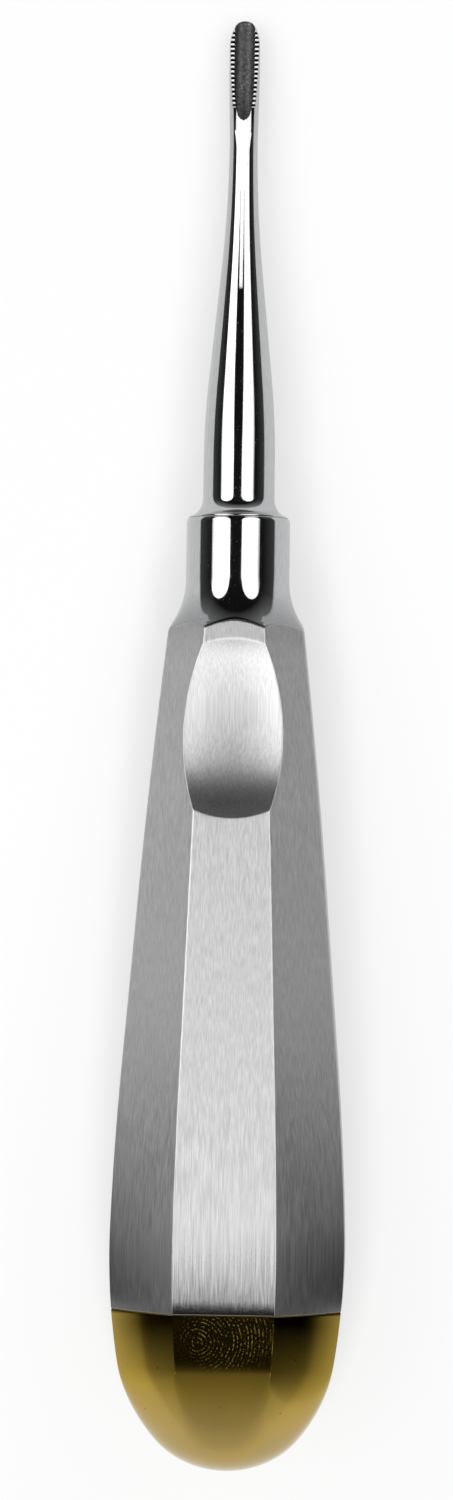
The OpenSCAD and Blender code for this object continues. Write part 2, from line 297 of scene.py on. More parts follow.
def set_inputs(tree, node, inputs):
    """Fills inputs of a node. Each gets a value, or a link from another node's output or, where a whole
    node is given, from its first output in use."""
    for name, value in inputs.items():
        if isinstance(value, bpy.types.Node):
            value = next(output for output in value.outputs if output.enabled)
        if isinstance(value, bpy.types.NodeSocket):
            tree.links.new(value, node.inputs[name])
        else:
            node.inputs[name].default_value = value


def add_node(tree, kind, inputs=None, **settings):
    """Adds a shader node with its settings, values and links."""
    made = tree.nodes.new("ShaderNode" + kind)
    for name, value in settings.items():
        setattr(made, name, value)
    set_inputs(tree, made, inputs or {})
    return made


def new_material(name, inputs):
    """A new material, its node tree and its surface shader, some of whose inputs are filled."""
    material = bpy.data.materials.new(name)
    material.use_nodes = True
    tree = material.node_tree
    shader = tree.nodes["Principled BSDF"]
    set_inputs(tree, shader, inputs)
    return material, tree, shader


def tool_axes(tree, vector):
    """Parts of a vector on the upright tool: X to the right, Y along the axis from mid_station and Z to
    the front."""
    upright = add_node(tree, "Mapping", {"Vector": vector, "Rotation": (float(rest_tilt), 0.0, 0.0)})
    return add_node(tree, "SeparateXYZ", {"Vector": upright}).outputs


def along_grain(tree, width, length):
    """Coordinates for a pattern of that width that is drawn out to that length along the tool."""
    return add_node(tree, "Mapping", {
        "Vector": add_node(tree, "TexCoord").outputs["Object"],
        "Rotation": (-float(rest_tilt), 0.0, 0.0), "Scale": (width, length, width)}, vector_type="TEXTURE")


# Brushed stainless steel: a belt has left fine scratches along the tool, so light spreads across them and
# the facets look satin, with light and dark streaks. Real scratches are finer: they are drawn 0.1 mm wide
# so that they show. Polishing the end cap has buffed them away next to the seam, where the front facet
# turns dark and mirrors. The other facets are painted darker towards the seam, and the sides next to the
# flare are painted darker too: painted shade.
steel_grey = linear("#c1c1c1")
streak_w, streak_len, scratch_depth = 0.1 * mm, 40.0 * mm, 0.004 * mm
buff_and_shade_from, buff_near, buff_and_shade_to = ((s - mid_station) * mm for s in (26.0, 18.3, 16.9))
joint_from, joint_at, joint_to = (
    (shell_end + past - mid_station) * mm for past in (-4.0, 0.0, 3.2))
brushed_steel, tree, shader = new_material("brushed_stainless_steel", {
    "Base Color": steel_grey, "Metallic": 1.0, "Roughness": 0.34,
    "Anisotropic": 0.75, "Anisotropic Rotation": 0.25})
grain_direction = add_node(tree, "CombineXYZ", {
    "X": 0.0, "Y": float(np.cos(rest_tilt)), "Z": -float(np.sin(rest_tilt))})
place = add_node(tree, "TexCoord").outputs
station = tool_axes(tree, place["Object"])["Y"]
in_front = add_node(tree, "MapRange", {
    "Value": tool_axes(tree, place["Normal"])["Z"], "From Min": 0.93, "From Max": 0.97})
streaks = add_node(tree, "TexNoise", {
    "Vector": along_grain(tree, streak_w, streak_len), "Scale": 1.0, "Detail": 2.0, "Roughness": 0.5})
tone = add_node(tree, "MapRange", {
    "Value": streaks, "From Min": 0.3, "From Max": 0.7, "To Min": 0.82, "To Max": 1.1})
# Painted shade: the facets other than the front one darken towards the seam.
painted_seam_shade = add_node(tree, "MapRange", {
    "Value": station, "From Min": buff_and_shade_to, "From Max": buff_and_shade_from, "To Min": 0.65, "To Max": 1.0})
# Painted shade: the sides darken towards the joint with the flare.
painted_joint_shade = add_node(tree, "MapRange", {
    "Value": station, "From Min": joint_from, "From Max": joint_at, "To Min": 1.0, "To Max": 0.84})
shade = add_node(tree, "Math", {0: painted_seam_shade, 1: painted_joint_shade}, operation="MULTIPLY")
shade = add_node(tree, "Math", {0: shade, 1: in_front}, operation="MAXIMUM")
tone = add_node(tree, "Math", {0: tone, 1: shade}, operation="MULTIPLY")
toned = add_node(tree, "Mix", {"Factor": 1.0, "A": steel_grey, "B": tone},
                 data_type="RGBA", blend_type="MULTIPLY")
buffed = add_node(tree, "MapRange", {
    "Value": station, "From Min": buff_and_shade_to, "From Max": buff_and_shade_from, "To Min": 0.21, "To Max": 0.0})
buffed_near = add_node(tree, "MapRange", {
    "Value": station, "From Min": buff_and_shade_to, "From Max": buff_near, "To Min": 0.09, "To Max": 0.0})
buffed = add_node(tree, "Math", {0: buffed, 1: buffed_near}, operation="ADD")
buffed = add_node(tree, "Math", {0: buffed, 1: in_front}, operation="MULTIPLY")
centred = add_node(tree, "Math", {0: streaks, 1: 0.5}, operation="SUBTRACT")
uneven = add_node(tree, "Math", {0: buffed, 1: -0.4, 2: 0.15}, operation="MULTIPLY_ADD")
rough = add_node(tree, "Math", {0: 0.35, 1: buffed}, operation="SUBTRACT")
rough = add_node(tree, "Math", {0: centred, 1: uneven, 2: rough}, operation="MULTIPLY_ADD")
scratch = add_node(tree, "Bump", {"Strength": uneven, "Distance": scratch_depth, "Height": streaks})
set_inputs(tree, shader, {
    "Base Color": toned, "Roughness": rough, "Normal": scratch, "Tangent": grain_direction})

# Mirror-polished stainless steel: buffed until it mirrors the lamps sharply, with a trace of haze in slow
# clouds, the faint grain of the last polish along the tool and a few dull specks. Where the flare meets
# the shell it is darkened: painted shade.
polished_grey = linear("#babbbc")
polish_w, polish_len, haze_w, speck_w = 0.12 * mm, 1.2 * mm, 2.0 * mm, 0.14 * mm
polished_steel, tree, shader = new_material("mirror_polished_stainless_steel", {
    "Base Color": polished_grey, "Metallic": 1.0, "Roughness": 0.06})
place = add_node(tree, "TexCoord").outputs["Object"]
polish_grain = add_node(tree, "TexNoise", {
    "Vector": along_grain(tree, polish_w, polish_len), "Scale": 1.0, "Detail": 2.0})
tone = add_node(tree, "MapRange", {
    "Value": polish_grain, "From Min": 0.3, "From Max": 0.7, "To Min": 0.88, "To Max": 1.04})
# Painted shade: the flare darkens towards the joint with the shell.
painted_flare_shade = add_node(tree, "MapRange", {
    "Value": tool_axes(tree, place)["Y"], "From Min": joint_at, "From Max": joint_to,
    "To Min": 0.62, "To Max": 1.0})
tone = add_node(tree, "Math", {0: tone, 1: painted_flare_shade}, operation="MULTIPLY")
toned = add_node(tree, "Mix", {"Factor": 1.0, "A": polished_grey, "B": tone},
                 data_type="RGBA", blend_type="MULTIPLY")
haze = add_node(tree, "TexNoise", {"Vector": place, "Scale": 1 / haze_w, "Detail": 4.0, "Roughness": 0.6})
hazy = add_node(tree, "MapRange", {
    "Value": haze, "From Min": 0.3, "From Max": 0.7, "To Min": 0.04, "To Max": 0.09})
specks = add_node(tree, "TexNoise", {"Vector": place, "Scale": 1 / speck_w, "Detail": 1.0})
speck = add_node(tree, "MapRange", {"Value": specks, "From Min": 0.73, "From Max": 0.79, "To Max": 0.25})
polish = add_node(tree, "Math", {0: hazy, 1: speck}, operation="ADD")
set_inputs(tree, shader, {"Base Color": toned, "Roughness": polish})

# Rows lie closer along the dish and at the flare, and columns on the front facet and its neighbours
front_columns = (72, 28, 14, 14, 14, 14, 14, 28)
before_dish, past_dish, flare_rows_len = 1.2, 0.6, 1.0
column_count = sum(front_columns)
dish_half_len = np.sqrt(dish_depth * (2 * dish_r - dish_depth))
dish_low, dish_high = dish_station - dish_half_len - before_dish, dish_station + dish_half_len + past_dish
shell_rows = np.concatenate([
    cap_len + seam_round * crowded(6),
    np.linspace(cap_len + seam_round, dish_low, 44, endpoint=False),
    np.linspace(dish_low, dish_high, 190, endpoint=False),
    np.linspace(dish_high, shell_end - flare_rows_len, 6, endpoint=False),
    np.linspace(shell_end - flare_rows_len, shell_end, 40)])
shell_angle = facet_columns(shell_rows, front_columns)
shell_station = shell_rows[:, None]
shell_radius = handle_radius(shell_angle, shell_station)


def end_rounding(to_end):
    """How much a rounded end lowers the surface near it: a quarter circle's drop."""
    return seam_round * (1 - np.sqrt(1 - np.clip(1 - to_end / seam_round, 0, 1) ** 2))


shell_radius -= end_rounding(shell_station - cap_len)
outside = around(shell_angle, shell_radius, shell_station)

socket_r = apothem(cap_len) - face_drop - wall
socket_end = cap_len + cap_spigot_len
bore_neck_start = dish_station - dish_half_len - bore_neck_len / 2
bore = np.array([
    [spigot_r + fit_gap, shell_end],
    [spigot_r + fit_gap, bore_neck_start + bore_neck_len],
    [apothem(bore_neck_start) - face_drop - wall, bore_neck_start],
    [socket_r - ledge_w, socket_end],
    [socket_r, socket_end],
    [socket_r, cap_len]])
inside = around(shell_angle[-1], bore[:, :1], bore[:, 1:])
shell_points = np.concatenate([outside, inside])
shell_polished = np.zeros((len(shell_points), column_count))
shell_polished[:len(outside)] = (
    flare_inverse(shell_angle, shell_station) > facets_inverse(shell_angle, shell_station))
handle_shell = new_piece("handle_shell_brushed", shell_points.reshape(-1, 3),
                         [ring_faces(len(shell_points), column_count, closed=True)],
                         [brushed_steel, polished_steel], shell_polished.ravel(), sharp_angle=25)
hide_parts("handle_shell")
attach(handle_shell, "root")


# End cap
# A hollow eight-sided dome of steel with a gold coloured plating. Its facets carry on those of the
# shell and soften into a round pole, and its spigot is pressed into the shell's rear end.
pole_r, pole_end, corner_sweep_r, cap_wall = 10.4, 3.2, 19.0, 1.6
seam_edge_r, pole_edge_r, soft_from, soft_full = 0.01, 2.2, 12.0, 4.0


def blank_radius(station):
    """The turned blank: a round pole, then a larger arc tangent to it, then a cylinder at its widest."""
    lean = np.arccos(1 - pole_end / pole_r)
    grow = corner_sweep_r - pole_r
    centre_r, centre_s = -grow * np.sin(lean), pole_r + grow * np.cos(lean)
    pole = np.sqrt(np.maximum(pole_r ** 2 - (pole_r - station) ** 2, 0))
    above = np.minimum(station, centre_s)
    sweep = centre_r + np.sqrt(corner_sweep_r ** 2 - (centre_s - above) ** 2)
    return np.where(station < pole_end, pole, sweep)


def cap_radius(angle, station):
    """Distance of the cap's surface from the axis: eight facets cut from the blank, with rounded edges."""
    facets = [facet_inverse(angle, i, station) for i in range(8)]
    to_pole = smooth((soft_from - station) / (soft_from - soft_full))
    edge_r = seam_edge_r + (pole_edge_r - seam_edge_r) * to_pole
    return 1 / rounded_max(facets + [1 / blank_radius(station)], edge_power(apothem(station), edge_r))


# Gold plating: polished but handled, so it mirrors dark and pale with a slow change between olive and
# brass, deeper towards the seam and paler at the pole, and a few brown spots. A finger has left a print
# of ridges, whose pores catch the lamps. Real pores are finer: they are drawn 0.18 mm wide to show.
tarnish_w, spot_w, ridge_w, pore_w, print_half = 5.0 * mm, 0.7 * mm, 0.38 * mm, 0.18 * mm, 6.4 * mm
pale_to, deep_from = ((s - mid_station) * mm for s in (4.5, 9.5))
print_x, print_station, core_x, core_station = 0.4, 15.2, -2.6, 14.0
print_centre = lay_down(print_x, apothem(print_station), print_station)
print_core = lay_down(core_x, apothem(core_station), core_station)
gold, tree, shader = new_material("gold_plating", {
    "Base Color": linear("#ae9650"), "Metallic": 1.0, "Roughness": 0.06})
place = add_node(tree, "TexCoord").outputs["Object"]
tarnish = add_node(tree, "TexNoise", {"Vector": place, "Scale": 1 / tarnish_w, "Detail": 2.0})
gold_tone = add_node(tree, "Mix", {
    "Factor": tarnish, "A": linear("#b79a52"), "B": linear("#a5925d")}, data_type="RGBA")
deep = add_node(tree, "MapRange", {
    "Value": tool_axes(tree, place)["Y"], "From Min": pale_to, "From Max": deep_from})
gold_tone = add_node(tree, "Mix", {
    "Factor": deep, "A": gold_tone, "B": linear("#fffab4")}, data_type="RGBA", blend_type="MULTIPLY")
spots = add_node(tree, "TexNoise", {"Vector": place, "Scale": 1 / spot_w, "Detail": 1.0})
spotted = add_node(tree, "MapRange", {"Value": spots, "From Min": 0.745, "From Max": 0.8, "To Max": 0.8})
gold_tone = add_node(tree, "Mix", {
    "Factor": spotted, "A": gold_tone, "B": linear("#6f4512")}, data_type="RGBA")
from_core = add_node(tree, "VectorMath", {0: place, 1: tuple(print_core)}, operation="SUBTRACT")
ridges = add_node(tree, "TexWave", {
    "Vector": from_core, "Scale": np.pi / 10 / ridge_w, "Distortion": 8.0, "Detail": 1.0,
    "Detail Scale": 0.16}, wave_type="RINGS", rings_direction="SPHERICAL")
crests = add_node(tree, "MapRange", {"Value": ridges.outputs["Fac"], "From Min": 0.5, "From Max": 0.95})
pores = add_node(tree, "TexNoise", {"Vector": place, "Scale": 1 / pore_w, "Detail": 0.0})
pore = add_node(tree, "MapRange", {"Value": pores, "From Min": 0.5, "From Max": 0.62})
from_print = add_node(tree, "VectorMath", {0: place, 1: tuple(print_centre)}, operation="SUBTRACT")
in_print = add_node(tree, "MapRange", {
    "Value": add_node(tree, "VectorMath", {0: from_print}, operation="LENGTH"),
    "From Min": 0.4 * print_half, "From Max": print_half, "To Min": 1.0, "To Max": 0.0},
    interpolation_type="SMOOTHSTEP")
smear = add_node(tree, "Math", {0: pore, 1: crests}, operation="MULTIPLY")
smear = add_node(tree, "Math", {0: smear, 1: in_print}, operation="MULTIPLY")
gold_rough = add_node(tree, "MapRange", {"Value": smear, "To Min": 0.06, "To Max": 0.19})
set_inputs(tree, shader, {"Base Color": gold_tone, "Roughness": gold_rough})

cap_columns = (28, 20, 14, 14, 14, 14, 14, 20)
cap_count = sum(cap_columns)
cap_rows = np.concatenate([
    (cap_len - seam_round) * (np.arange(1, 90) / 90) ** 2,
    cap_len - seam_round * crowded(6)[::-1]])
cap_angle = facet_columns(cap_rows, cap_columns)
cap_station = cap_rows[:, None]
cap_surface = cap_radius(cap_angle, cap_station)
cap_surface = cap_surface - end_rounding(cap_len - cap_station)
seam_angle = cap_angle[-1]
cap_spigot_r = socket_r - fit_gap
hollow_r = cap_spigot_r - cap_wall
hollow_turn = np.radians(np.arange(0, 90, 6))
hollow = np.stack([hollow_r * np.cos(hollow_turn), pole_r - hollow_r * np.sin(hollow_turn)], -1)
cap_spigot_end = socket_end - fit_gap
spigot = np.concatenate([
    [[cap_spigot_r, cap_len], [cap_spigot_r, cap_spigot_end], [hollow_r, cap_spigot_end]], hollow])
cap_points = np.concatenate([
    around(cap_angle, cap_surface, cap_station),
    around(seam_angle, spigot[:, :1], spigot[:, 1:])])
cap_poles = lay_down(np.zeros(2), np.zeros(2), np.array([0.0, pole_r - hollow_r]))
cap_ring = np.arange(cap_count)
last_ring = (len(cap_points) - 1) * cap_count + cap_ring
pole_index = cap_points.shape[0] * cap_count
cap_faces = [ring_faces(len(cap_points), cap_count),
             fan_faces(cap_ring[::-1], pole_index),
             fan_faces(last_ring, pole_index + 1)]
end_cap = new_piece("end_cap_gold", np.concatenate([cap_points.reshape(-1, 3), cap_poles]), cap_faces,
                    [gold], sharp_angle=15)
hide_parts("end_cap")
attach(end_cap, "root")


# Neck collar
# A steel bolster, turned and mirror polished. Its round flare passes into the eight facets of the shell.
# Its spigot plugs the shell's front end, and its bore takes the tang of the working end.
collar_len, collar_edge_r = 6.3, 0.12
spigot_len, tang_r, hidden_chamfer = 12.0, 2.4, 0.3
barrel_len, barrel_drop = 0.45, 0.105
collar_end = flare_end + collar_len
spigot_end = shell_end - spigot_len

collar_angle = facet_columns(np.full(1, shell_end), (32,) * 8)[0]
flare_line = shell_end + flare_len * np.linspace(0, 1, 56)[:, None] ** 1.5
flare_surface = handle_radius(collar_angle, flare_line)
barrel_line = flare_end + (collar_len - collar_edge_r) * (1 - (1 - np.arange(1, 61) / 60) ** 2)
barrel_way = np.clip((barrel_line - collar_end + barrel_len) / barrel_len, 0, 1)
barrel = collar_r - barrel_drop * barrel_way ** 2
quarter = np.radians(np.arange(9, 91, 9))
collar_line = np.concatenate([
    np.stack([barrel, barrel_line], -1),
    np.stack([barrel[-1] - collar_edge_r * (1 - np.cos(quarter)),
              collar_end - collar_edge_r * (1 - np.sin(quarter))], -1),
    [[tang_r + fit_gap, collar_end], [tang_r + fit_gap, spigot_end],
     [spigot_r - hidden_chamfer, spigot_end], [spigot_r, spigot_end + hidden_chamfer],
     [spigot_r, shell_end]]])
collar_points = np.concatenate([
    around(collar_angle, flare_surface, flare_line),
    around(collar_angle, collar_line[:, :1], collar_line[:, 1:])])
collar_brushed = np.zeros(collar_points.shape[:2])
collar_brushed[:len(flare_line)] = (
    flare_inverse(collar_angle, flare_line) < facets_inverse(collar_angle, flare_line))
neck_collar = new_piece("neck_collar_polished", collar_points.reshape(-1, 3),
                        [ring_faces(len(collar_points), len(collar_angle), closed=True)],
                        [polished_steel, brushed_steel], collar_brushed.ravel())
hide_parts("neck_collar")
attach(neck_collar, "root")


# Working end
# One steel forging: a hidden tang, a seat flange on the collar, a polished round shank, and a gouge
# blade. Its trough is ground by a wheel and blasted dull, and small teeth are notched into both edges.
rim_r, seat_h, shank_fillet_r, shank_r, shank_root_len = 5.05, 0.12, 2.0, 3.7, 6.0
crown_r, shank_fall, taper_len, waist_sweep_r, tang_len = 85.0, 0.1, 11.5, 135.0, 20.5
blade_len, blade_r, blade_flare_len, side_r, nose_r = 12.57, 1.61, 7.5, 5.0, 1.25
tip_front, front_angle = 0.55, np.radians(3.2)
tip_back, back_slope, back_r, back_power, back_clear = 0.45, np.tan(np.radians(4.6)), 1.75, 90, 1.05
trough_len, trough_r, trough_depth, trough_from_tip = 9.0, 1.3, 0.55, 1.5
notch_count, notch_pitch, notch_depth, notch_from_tip = 17, 0.475, 0.16, 1.35

taper_angle = np.arctan(shank_fall)
crown_start = collar_end + shank_root_len
crown_end = crown_start + crown_r * np.sin(taper_angle)
taper_end = crown_end + taper_len
waist_station = taper_end + waist_sweep_r * np.sin(taper_angle)
plane_start = waist_station - waist_sweep_r * np.sin(front_angle)
tip_station = waist_station + blade_len
curve_drop = 1 - np.cos(taper_angle)
waist_r = shank_r - crown_r * curve_drop - shank_fall * taper_len - waist_sweep_r * curve_drop
nose_centre = tip_station - nose_r
side_station = nose_centre - np.sqrt((side_r - nose_r) ** 2 - (side_r - blade_r) ** 2)
nose_start = nose_centre + nose_r * np.sqrt(1 - ((side_r - blade_r) / (side_r - nose_r)) ** 2)


def turned_radius(station):
    """The turned form: root, convex crown, straight taper, hollow waist, flare to the blade, round nose."""
    crown = shank_r - crown_r + np.sqrt(crown_r ** 2 - np.clip(station - crown_start, 0, crown_r) ** 2)
    taper = shank_r - crown_r * curve_drop - shank_fall * (station - crown_end)
    hollow_way = np.clip(waist_station - station, 0, waist_sweep_r)
    waist = waist_r + waist_sweep_r - np.sqrt(waist_sweep_r ** 2 - hollow_way ** 2)
    widen = waist_r + (blade_r - waist_r) * np.clip((station - waist_station) / blade_flare_len, 0, 1)
    sides = blade_r - side_r + np.sqrt(side_r ** 2 - np.clip(station - side_station, 0, side_r) ** 2)
    nose = np.sqrt(np.maximum(nose_r ** 2 - (station - nose_centre) ** 2, 0))
    return np.select(
        [station > nose_start, station > side_station, station > waist_station, station > taper_end,
         station > crown_end],
        [nose, np.minimum(sides, widen), widen, waist, taper], crown)


def blade_radius(angle, station):
    """Distance of the outside from the axis: the turned form and the blade's round back, a circle whose
    centre moves with the back's slope. Where the back isn't cut, that circle stays clear of the form."""
    turned = turned_radius(station)
    back = tip_back + (tip_station - station) * back_slope
    centre = np.clip(back_r - back, -back_r * 0.9, back_r)
    round_back = centre * np.cos(angle) + np.sqrt(back_r ** 2 - (centre * np.sin(angle)) ** 2)
    round_back = np.where(back > turned * back_clear, turned * back_clear, round_back)
    return 1 / rounded_max([1 / turned, 1 / round_back], back_power)


def front_distance(station):
    """Distance of the blade's front plane from the axis, with a row of V notches cut into it."""
    plane = tip_front + (tip_station - station) * np.tan(front_angle)
    along = (tip_station - notch_from_tip - station) / notch_pitch
    nearest = np.clip(np.round(along), 0, notch_count - 1)
    return plane - np.maximum(notch_depth - np.abs(along - nearest) * notch_pitch, 0)


# The shank and the blade share their columns, which crowd towards the front
half_count, rim_count = 64, 6
spread = (np.arange(half_count + 1) / half_count) ** 1.6


def section_start(station):
    """Direction in which the front plane cuts the outside, or zero where it doesn't reach it."""
    distance = front_distance(station)
    angle = solve(lambda a: blade_radius(a, station) * np.cos(a) - distance,
                  np.zeros_like(station), np.full_like(station, np.pi / 2))
    return np.where(blade_radius(0 * station, station) > distance + 1e-6, angle, 0)


# The blade starts a hair before the front plane first cuts the shank
plane_station = np.linspace(plane_start, waist_station, 4000)
blade_start = plane_station[np.argmax(section_start(plane_station) > 1e-3)] - 0.002

# The tang, the seat flange with its round rim, and the fillet that leads up to the shank
fillet_centre = np.array([shank_r + shank_fillet_r, collar_end + seat_h + shank_fillet_r])
fillet_turn = np.linspace(np.arccos((fillet_centre[0] - rim_r) / shank_fillet_r), 0, 24)
fillet = fillet_centre - shank_fillet_r * np.stack([np.cos(fillet_turn), np.sin(fillet_turn)], -1)
shank_line = np.concatenate([np.linspace(fillet_centre[1], crown_start, 8)[1:-1],
                             np.linspace(crown_start, blade_start, 120)])
rim_half = (fillet[0, 1] - collar_end) / 2
rim_turn = np.linspace(-np.pi / 2, np.pi / 2, 12, endpoint=False)
rim_centre = np.array([rim_r, collar_end + rim_half])
rim = rim_centre + rim_half * np.stack([np.cos(rim_turn), np.sin(rim_turn)], -1)
root_line = np.concatenate([
    [[tang_r - hidden_chamfer, collar_end - tang_len], [tang_r, collar_end - tang_len + hidden_chamfer],
     [tang_r, collar_end]],
    rim, fillet])
half_angle = np.pi * spread
full_angle = np.concatenate([half_angle, -half_angle[-2:0:-1]])
column_total = len(full_angle)
root_points = around(full_angle, root_line[:, :1], root_line[:, 1:])
shank_points = around(full_angle, blade_radius(full_angle, shank_line[:, None]), shank_line[:, None])
shank_rows = np.concatenate([root_points, shank_points])
tang_pole = lay_down(np.zeros(1), np.zeros(1), np.array([collar_end - tang_len]))

trough_station = tip_station - trough_from_tip


def trough_centre(station):
    """Distance from the axis to the centre of the trough's circle: the trough stays deep for most of its
    length and runs out with a round end, as one less the fifth power of the way."""
    plane = tip_front + (tip_station - station) * np.tan(front_angle)
    depth = trough_depth * (1 - np.clip((trough_station - station) / trough_len, 0, None) ** 5)
    return plane + trough_r - depth


# Rows of the blade: up to the trough, at the trough's mouth, a dozen to each tooth, then closer to the tip
trough_start = trough_station - trough_len
teeth_end = tip_station - notch_from_tip - (notch_count - 0.5) * notch_pitch
teeth_start = tip_station - notch_from_tip + 0.5 * notch_pitch
steps_per_tooth = 12
lead_rows = np.linspace(blade_start, trough_start, 50, endpoint=False)
mouth_rows = trough_start + (teeth_end - trough_start) * (np.arange(24) / 24) ** 2
teeth_rows = np.linspace(teeth_end, teeth_start, notch_count * steps_per_tooth, endpoint=False)
nose_rows = tip_station - (tip_station - teeth_start) * (1 - np.arange(40) / 40) ** 2
blade_line = np.concatenate([lead_rows, mouth_rows, teeth_rows, nose_rows])

# Each section starts at the trough's edge, crosses the front plane to the outside and goes round the back.
# Where the trough is wider than the plane, its edge is the line in which it meets the turned form.
plane_cut = front_distance(blade_line)
start = section_start(blade_line)
outer_x = blade_radius(start, blade_line) * np.sin(start)
circle = trough_centre(blade_line)
trough_x = np.sqrt(np.maximum(trough_r ** 2 - (circle - plane_cut) ** 2, 0))
trough_x = np.where((circle - trough_r < plane_cut) & (blade_line >= trough_start), trough_x, 0)
radius_here = turned_radius(blade_line)
meet_front = (radius_here ** 2 + circle ** 2 - trough_r ** 2) / (2 * circle)
meet_x = np.sqrt(np.maximum(radius_here ** 2 - meet_front ** 2, 0))
wide = (trough_x >= outer_x) & (blade_line > teeth_end)
start = np.where(wide, np.arctan2(meet_x, meet_front), start)
outer_x = np.where(wide, meet_x, outer_x)
inner_x = np.where(wide, meet_x, trough_x)
rim_front = np.where(wide, meet_front, np.minimum(plane_cut, blade_radius(0 * blade_line, blade_line)))

outer_angle = start[:, None] + (np.pi - start[:, None]) * spread
outer_r = blade_radius(outer_angle, blade_line[:, None])
rim_share = np.arange(rim_count) / rim_count
rim_x = inner_x[:, None] + (outer_x - inner_x)[:, None] * rim_share
half_x = np.concatenate([rim_x, outer_r * np.sin(outer_angle)], 1)
half_front = np.concatenate([np.repeat(rim_front[:, None], rim_count, 1), outer_r * np.cos(outer_angle)], 1)
strip_x = np.concatenate([half_x, -half_x[:, -2::-1]], 1)
strip_front = np.concatenate([half_front, half_front[:, -2::-1]], 1)
strip_points = lay_down(strip_x, strip_front, blade_line[:, None])

# The trough's floor has a grid of its own between its two edges
in_trough = blade_line >= trough_start
trough_share = np.linspace(-1, 1, 41)
floor_x = inner_x[in_trough, None] * trough_share
floor_front = circle[in_trough, None] - np.sqrt(trough_r ** 2 - floor_x ** 2)
floor_points = lay_down(floor_x, floor_front, blade_line[in_trough, None])
tip_point = lay_down(np.zeros(1), np.zeros(1), np.array([tip_station]))


def strip_faces(rows, columns, first):
    """Quads of an open sheet of points, row by row."""
    index = first + np.arange(rows * columns).reshape(rows, columns)
    return np.stack([index[:-1, :-1], index[:-1, 1:], index[1:, 1:], index[1:, :-1]], -1).reshape(-1, 4)


def row_fan(row, pole):
    """Faces from an open row of points to one pole point, which takes two of their corners."""
    return np.stack([row[:-1], row[1:], np.full(len(row) - 1, pole), np.full(len(row) - 1, pole)], -1)


# Where each grid starts in the list of points, and the rows that close at the tip
first_strip = len(shank_rows) * column_total
first_floor = first_strip + strip_points.shape[0] * strip_points.shape[1]
first_pole = first_floor + floor_points.shape[0] * floor_points.shape[1]
strip_columns, floor_columns = strip_points.shape[1], len(trough_share)
last_strip = first_floor - strip_columns + np.arange(strip_columns)
last_floor = first_pole - floor_columns + np.arange(floor_columns)
working_faces = [
    ring_faces(len(shank_rows), column_total),
    strip_faces(len(blade_line), strip_columns, first_strip),
    strip_faces(len(floor_points), floor_columns, first_floor),
    fan_faces(np.arange(column_total)[::-1], first_pole + 1),
    row_fan(last_strip, first_pole),
    row_fan(last_floor, first_pole)]
working_points = np.concatenate([
    shank_rows.reshape(-1, 3), strip_points.reshape(-1, 3), floor_points.reshape(-1, 3),
    tip_point, tang_pole])

# Satin-ground stainless steel: the same polished steel, but a stone has left the front of the upper shank
# and the blade's front plane matt, in a narrow strip with a ragged start. The strip covers only faces that
# turn straight up, tooth lands too, and its white colour there is a painted highlight. The stone's grain
# is finer on the real tool: it is drawn 0.3 mm wide so that the ragged start shows.
satin_from = (122.3 - mid_station) * mm
teeth_from = (teeth_end - mid_station) * mm
grain_w, ragged_len, start_len = 0.3 * mm, 1.6 * mm, 0.8 * mm
stone_half, stone_edge, teeth_edge = 0.82 * mm, 0.08 * mm, 0.1 * mm
satin_and_highlight_steel = polished_steel.copy()
satin_and_highlight_steel.name = "satin_ground_steel_painted_highlight"
tree = satin_and_highlight_steel.node_tree
shader = tree.nodes["Principled BSDF"]
place = add_node(tree, "TexCoord").outputs
facing = tool_axes(tree, place["Normal"])["Z"]
spot = tool_axes(tree, place["Object"])
grain = add_node(tree, "TexNoise", {
    "Vector": place["Object"], "Scale": 1 / grain_w, "Detail": 3.0, "Roughness": 0.6})
ragged = add_node(tree, "Math", {0: grain, 1: ragged_len, 2: spot["Y"]}, operation="MULTIPLY_ADD")
begun = add_node(tree, "MapRange", {
    "Value": ragged, "From Min": satin_from, "From Max": satin_from + start_len})
strip_edge = add_node(tree, "Math", {0: grain, 1: 0.002, 2: facing}, operation="MULTIPLY_ADD")
facing_front = add_node(tree, "MapRange", {"Value": strip_edge, "From Min": 0.9915, "From Max": 0.9945})
aside = add_node(tree, "Math", {0: spot["X"]}, operation="ABSOLUTE")
in_strip = add_node(tree, "MapRange", {
    "Value": aside, "From Min": stone_half - stone_edge, "From Max": stone_half,
    "To Min": 1.0, "To Max": 0.0})
by_teeth = add_node(tree, "MapRange", {
    "Value": spot["Y"], "From Min": teeth_from - teeth_edge, "From Max": teeth_from + teeth_edge})
in_strip = add_node(tree, "Math", {0: in_strip, 1: by_teeth}, operation="MAXIMUM")
satin_and_painted_highlight = add_node(tree, "Math", {0: begun, 1: facing_front}, operation="MULTIPLY")
satin_and_painted_highlight = add_node(tree, "Math", {0: satin_and_painted_highlight, 1: in_strip}, operation="MULTIPLY")
# Painted highlight: the strip's colour turns white.
painted_highlight_tone = add_node(tree, "Mix", {
    "Factor": satin_and_painted_highlight, "A": shader.inputs["Base Color"].links[0].from_socket, "B": linear("#ffffff")},
    data_type="RGBA")
satin_rough = add_node(tree, "Mix", {
    "Factor": satin_and_painted_highlight, "A": shader.inputs["Roughness"].links[0].from_socket, "B": 0.7})
set_inputs(tree, shader, {"Base Color": painted_highlight_tone, "Roughness": satin_rough})

